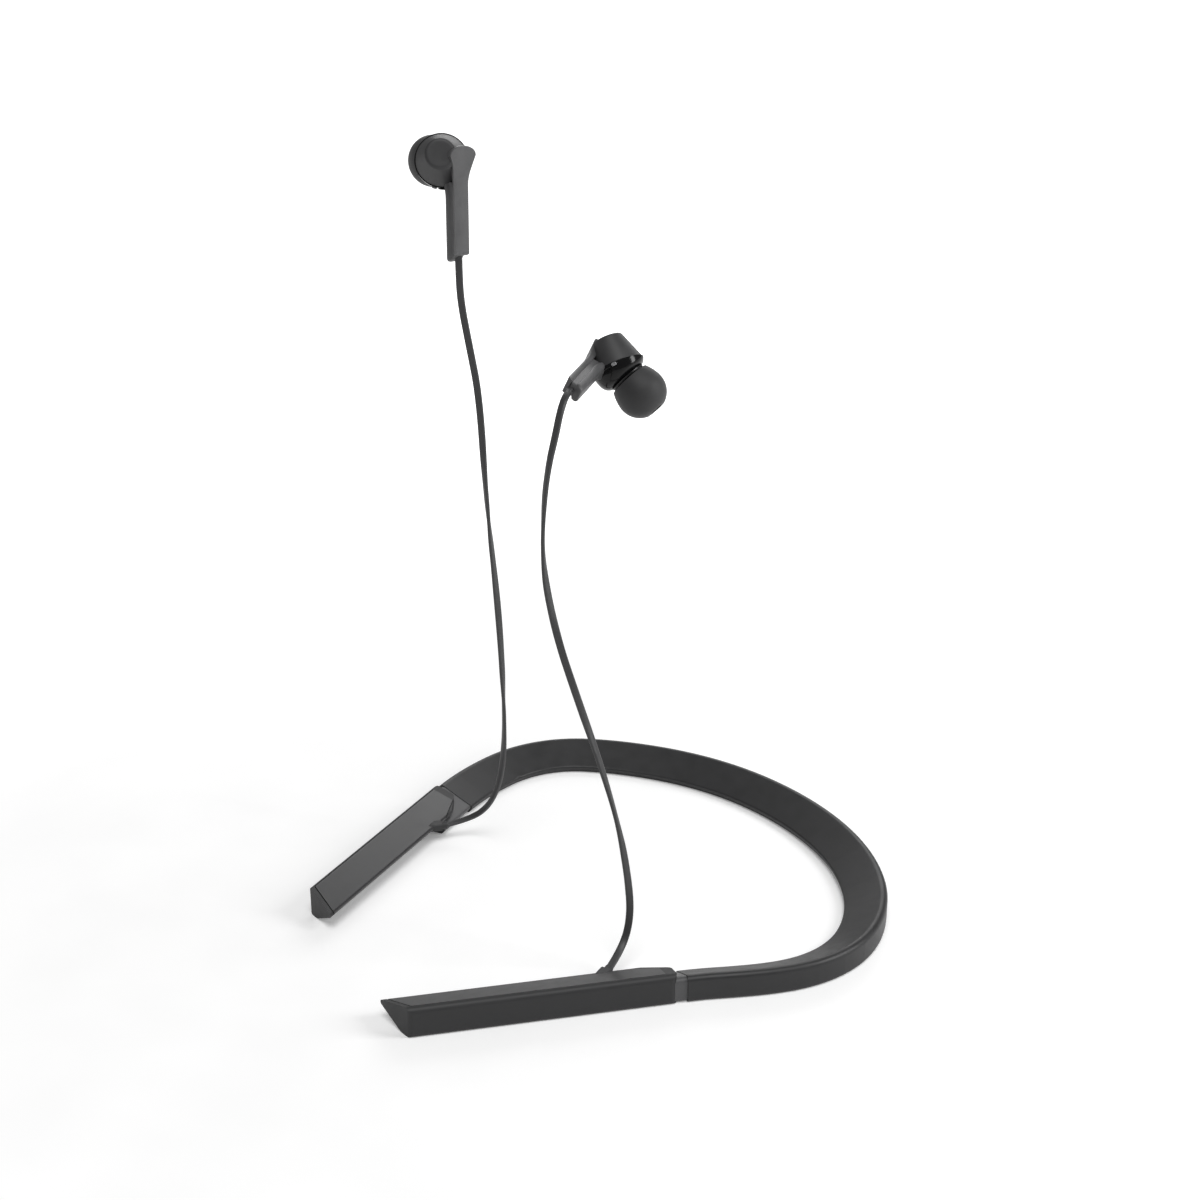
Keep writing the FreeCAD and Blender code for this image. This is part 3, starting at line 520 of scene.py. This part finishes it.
def cone(side):
    """Rear housing: a cone with soft edges."""
    slope = math.atan2(rim_radius - cap_radius, cone_length)
    profile = [(0, 0), (0, rim_radius - 0.3), (-0.05, rim_radius - 0.12), (-0.2, rim_radius - 0.05)]
    for i in range(9):
        angle = slope + (math.pi / 2 - slope) * i / 8
        profile.append((-cone_length + cone_round - cone_round * math.sin(angle),
                        cap_radius - 0.8 * cone_round + cone_round * math.cos(angle)))
    profile += [(-cone_length + 0.03, cap_radius - 1.2), (-cone_length + 0.03, 0)]
    bm = turned(profile, rear_axis)
    add_piece(side + "_cone", bm, side, "bud_matte", [side + "_rear_housing"])


def paddle(inset, low):
    """Outline of the stem plate as (across, up), from the foot up one side and down the other."""
    half, head = stem_half - inset, head_half - inset
    corner, top = head_corner - inset, head_top - inset
    side_points = [(half, low), (half, low + 1.0), (half, plate_neck - 6.0), (half, plate_neck)]
    for i in range(1, 9):
        share = i / 8
        side_points.append((half + (head - half) * share ** 1.8,
                            plate_neck + (corner - plate_neck) * share))
    crown = []
    for i in range(1, 12):
        angle = math.pi * i / 12
        crown.append((head * math.cos(angle), corner + (top - corner) * math.sin(angle)))
    back = [(-y, z) for y, z in reversed(side_points)]
    return [(y + stem_middle, z) for y, z in side_points + crown + back]


def bow(z):
    """How far the plate's face stands out at a height."""
    share = min(max((z - plate_neck) / (head_corner - plate_neck), 0.0), 1.0)
    return head_bow * share * share * (3 - 2 * share)


def stem_body(side):
    """Back half of the stem: a rounded bar with a waist beside the plate, spreading at the top."""
    outline = []
    for i in range(7):
        angle = math.pi / 2 * i / 6
        outline.append((body_back + body_corner - body_corner * math.cos(angle),
                        body_half - body_corner + body_corner * math.sin(angle)))
    outline += [(body_waist + along, waist_half + rise) for along, rise in waist_blend]
    outline.append((plate_back + 0.1, waist_half))
    outline += [(x, -y) for x, y in reversed(outline)]
    middle = (body_back + plate_back) / 2
    bm = bmesh.new()
    rings = []
    for shrink, lift in body_end:
        ring = []
        for x, y in outline:
            x += (middle - x) * shrink
            y -= y * shrink
            foot = plate_bottom - (plate_face - x) * plate_slant + lift
            ring.append(bm.verts.new((x, y + stem_middle, foot)))
        rings.append(ring)
    steps = 8
    for step in range(steps + 1):
        z = flare_start + (flare_end - flare_start) * step / steps
        flare = flare_reach * (step / steps) ** 2 / (plate_back - body_back)
        rings.append([bm.verts.new((x - flare * (plate_back - x), y + stem_middle, z))
                      for x, y in outline])
    skin(bm, rings)
    add_piece(side + "_stem_bar", bm, side, "stem_matte", [side + "_stem_body"], 40)


def around_rim(degrees):
    """Direction out from the cone's axis at an angle about it."""
    across = Vector((1, 0, 0)) - rear_axis * rear_axis.x
    across.normalize()
    up = rear_axis.cross(across)
    angle = math.radians(degrees)
    return across * math.cos(angle) + up * math.sin(angle)


def rib(side):
    """Fine ridge on the glossy front, along the cone's edge."""
    bm = bmesh.new()
    rings = []
    steps = 28
    sides = 10
    start, end = rib_angles
    for i in range(steps + 1):
        out = around_rim(start + (end - start) * i / steps)
        share = min(max(i / steps, 0.02), 0.98)
        size = rib_size * math.sin(math.pi * share) ** 0.35
        ring = []
        for j in range(sides):
            turn = 2 * math.pi * j / sides
            ring.append(bm.verts.new(rear_axis * (rib_along + size * math.cos(turn))
                                     + out * (rib_radius + size * math.sin(turn))))
        rings.append(ring)
    skin(bm, rings)
    add_piece(side + "_rib", bm, side, "bud_gloss", [], 60)


def vent(side):
    """Small steel vent at the end of the ridge."""
    out = around_rim(vent_angle)
    along = rear_axis.cross(out)
    bm = bmesh.new()
    rings = []
    count = 20
    for lift, half_long, half_wide in vent_layers:
        ring = []
        for i in range(count):
            turn = 2 * math.pi * i / count
            c, s = math.cos(turn), math.sin(turn)
            long = half_long * math.copysign(abs(c) ** 0.5, c)
            wide = half_wide * math.copysign(abs(s) ** 0.5, s)
            ring.append(bm.verts.new(out * lift + along * long + rear_axis * (vent_along + wide)))
        rings.append(ring)
    skin(bm, rings)
    add_piece(side + "_vent", bm, side, "nozzle_steel", [], 40)


def stem_plate(side):
    """Paddle-shaped plate with a fine bevel round its face and a rounded foot."""
    bm = bmesh.new()
    layers = [(plate_back, 0.45), (5.62, 0.32), (5.8, 0.22), (6.3, 0.08), (6.55, 0.02), (6.68, 0.03),
              (6.76, 0.09), (plate_face, 0.2)]
    rings = []
    for x, inset in layers:
        near_edge = min(x - plate_back, plate_face - x)
        lift = 0.0
        if near_edge < plate_round:
            lift = plate_round - math.sqrt(plate_round ** 2 - (plate_round - near_edge) ** 2)
        low = plate_bottom - (plate_face - x) * plate_slant + lift
        share = (x - plate_back) / (plate_face - plate_back)
        rings.append([bm.verts.new((x + share * bow(z), y, z)) for y, z in paddle(inset, low)])
    skin(bm, rings)
    add_piece(side + "_paddle", bm, side, "stem_plate", [side + "_stem_plate"], 24)


for side in ("left", "right"):
    glossy_front(side)
    cone(side)
    rib(side)
    vent(side)
    stem_plate(side)
    stem_body(side)


# Stage, light and camera

def pale_floor(near_glow, far_glow):
    """White floor; a glow that only the camera sees lifts it to plain white away from the object."""
    mesh = bpy.data.meshes.new("floor")
    reach = 12.0
    corners = [(-reach, -reach, 0), (reach, -reach, 0), (reach, reach, 0), (-reach, reach, 0)]
    mesh.from_pydata(corners, [], [(0, 1, 2, 3)])
    floor = new_object("floor", mesh)
    nodes = Nodes("floor_white")
    dust = nodes.noise(30.0)
    nodes.link(nodes.ramp(dust, [(0.3, colour("#f7f7f7")), (0.7, colour("#fbfbfb"))]),
               nodes.shader.inputs["Base Color"])
    nodes.shader.inputs["Roughness"].default_value = 0.9
    nodes.shader.inputs["Specular IOR Level"].default_value = 0.1
    distance = nodes.add("ShaderNodeVectorMath", operation="LENGTH")
    nodes.link(nodes.place, distance.inputs[0])
    fade = nodes.add("ShaderNodeMapRange", interpolation_type="SMOOTHSTEP")
    fade.inputs["From Min"].default_value = 0.08
    fade.inputs["From Max"].default_value = 0.6
    fade.inputs["To Min"].default_value = near_glow
    fade.inputs["To Max"].default_value = far_glow
    nodes.link(distance.outputs["Value"], fade.inputs["Value"])
    path = nodes.add("ShaderNodeLightPath")
    strength = nodes.add("ShaderNodeMath", operation="MULTIPLY")
    nodes.link(fade.outputs["Result"], strength.inputs[1])
    nodes.link(path.outputs["Is Camera Ray"], strength.inputs[0])
    nodes.shader.inputs["Emission Color"].default_value = (1, 1, 1, 1)
    nodes.link(strength.outputs[0], nodes.shader.inputs["Emission Strength"])
    mesh.materials.append(nodes.material)


def aim(holder, direction):
    """Turn a lamp or the camera to look along a direction."""
    holder.rotation_euler = direction.to_track_quat("-Z", "Y").to_euler()


def lamp(name, place, target, width, height, power):
    """Soft rectangular lamp that looks at a point."""
    light = bpy.data.lights.new(name, "AREA")
    light.shape = "RECTANGLE"
    light.size = width
    light.size_y = height
    light.energy = power
    holder = new_object(name, light)
    holder.location = place
    aim(holder, Vector(target) - Vector(place))


def world_light(strength, seen):
    """Even white light from all round, and the white that the camera sees behind the object."""
    world = bpy.data.worlds.new("studio")
    bpy.context.scene.world = world
    world.use_nodes = True
    tree = world.node_tree
    back = tree.nodes["Background"]
    back.inputs["Color"].default_value = (1, 1, 1, 1)
    back.inputs["Strength"].default_value = strength
    white = tree.nodes.new("ShaderNodeBackground")
    white.inputs["Color"].default_value = (1, 1, 1, 1)
    white.inputs["Strength"].default_value = seen
    path = tree.nodes.new("ShaderNodeLightPath")
    mix = tree.nodes.new("ShaderNodeMixShader")
    tree.links.new(path.outputs["Is Camera Ray"], mix.inputs["Fac"])
    tree.links.new(back.outputs[0], mix.inputs[1])
    tree.links.new(white.outputs[0], mix.inputs[2])
    tree.links.new(mix.outputs[0], tree.nodes["World Output"].inputs["Surface"])


def sun(name, direction, strength, spread):
    """Broad light from far off."""
    light = bpy.data.lights.new(name, "SUN")
    light.energy = strength
    light.angle = math.radians(spread)
    aim(new_object(name, light), Vector(direction))


pale_floor(0.16, 0.8)
world_light(0.22, 1.0)
sun("overhead", (-0.35, 0.2, -0.9), 1.35, 35)
lamp("back", (-0.55, 0.5, 0.45), (0, 0, 0.05), 0.6, 0.4, 1.7)
lamp("side", (0.45, 0.45, 0.40), (0, 0, 0.1), 0.22, 0.45, 2.4)

camera_data = bpy.data.cameras.new("camera")
camera_data.lens = lens
camera_data.sensor_width = 36
camera_data.clip_start = 0.01
camera = new_object("camera", camera_data)
camera.location = look_at - look_along * camera_distance
aim(camera, look_along)
bpy.context.scene.camera = camera
bpy.context.scene.view_settings.view_transform = "Standard"
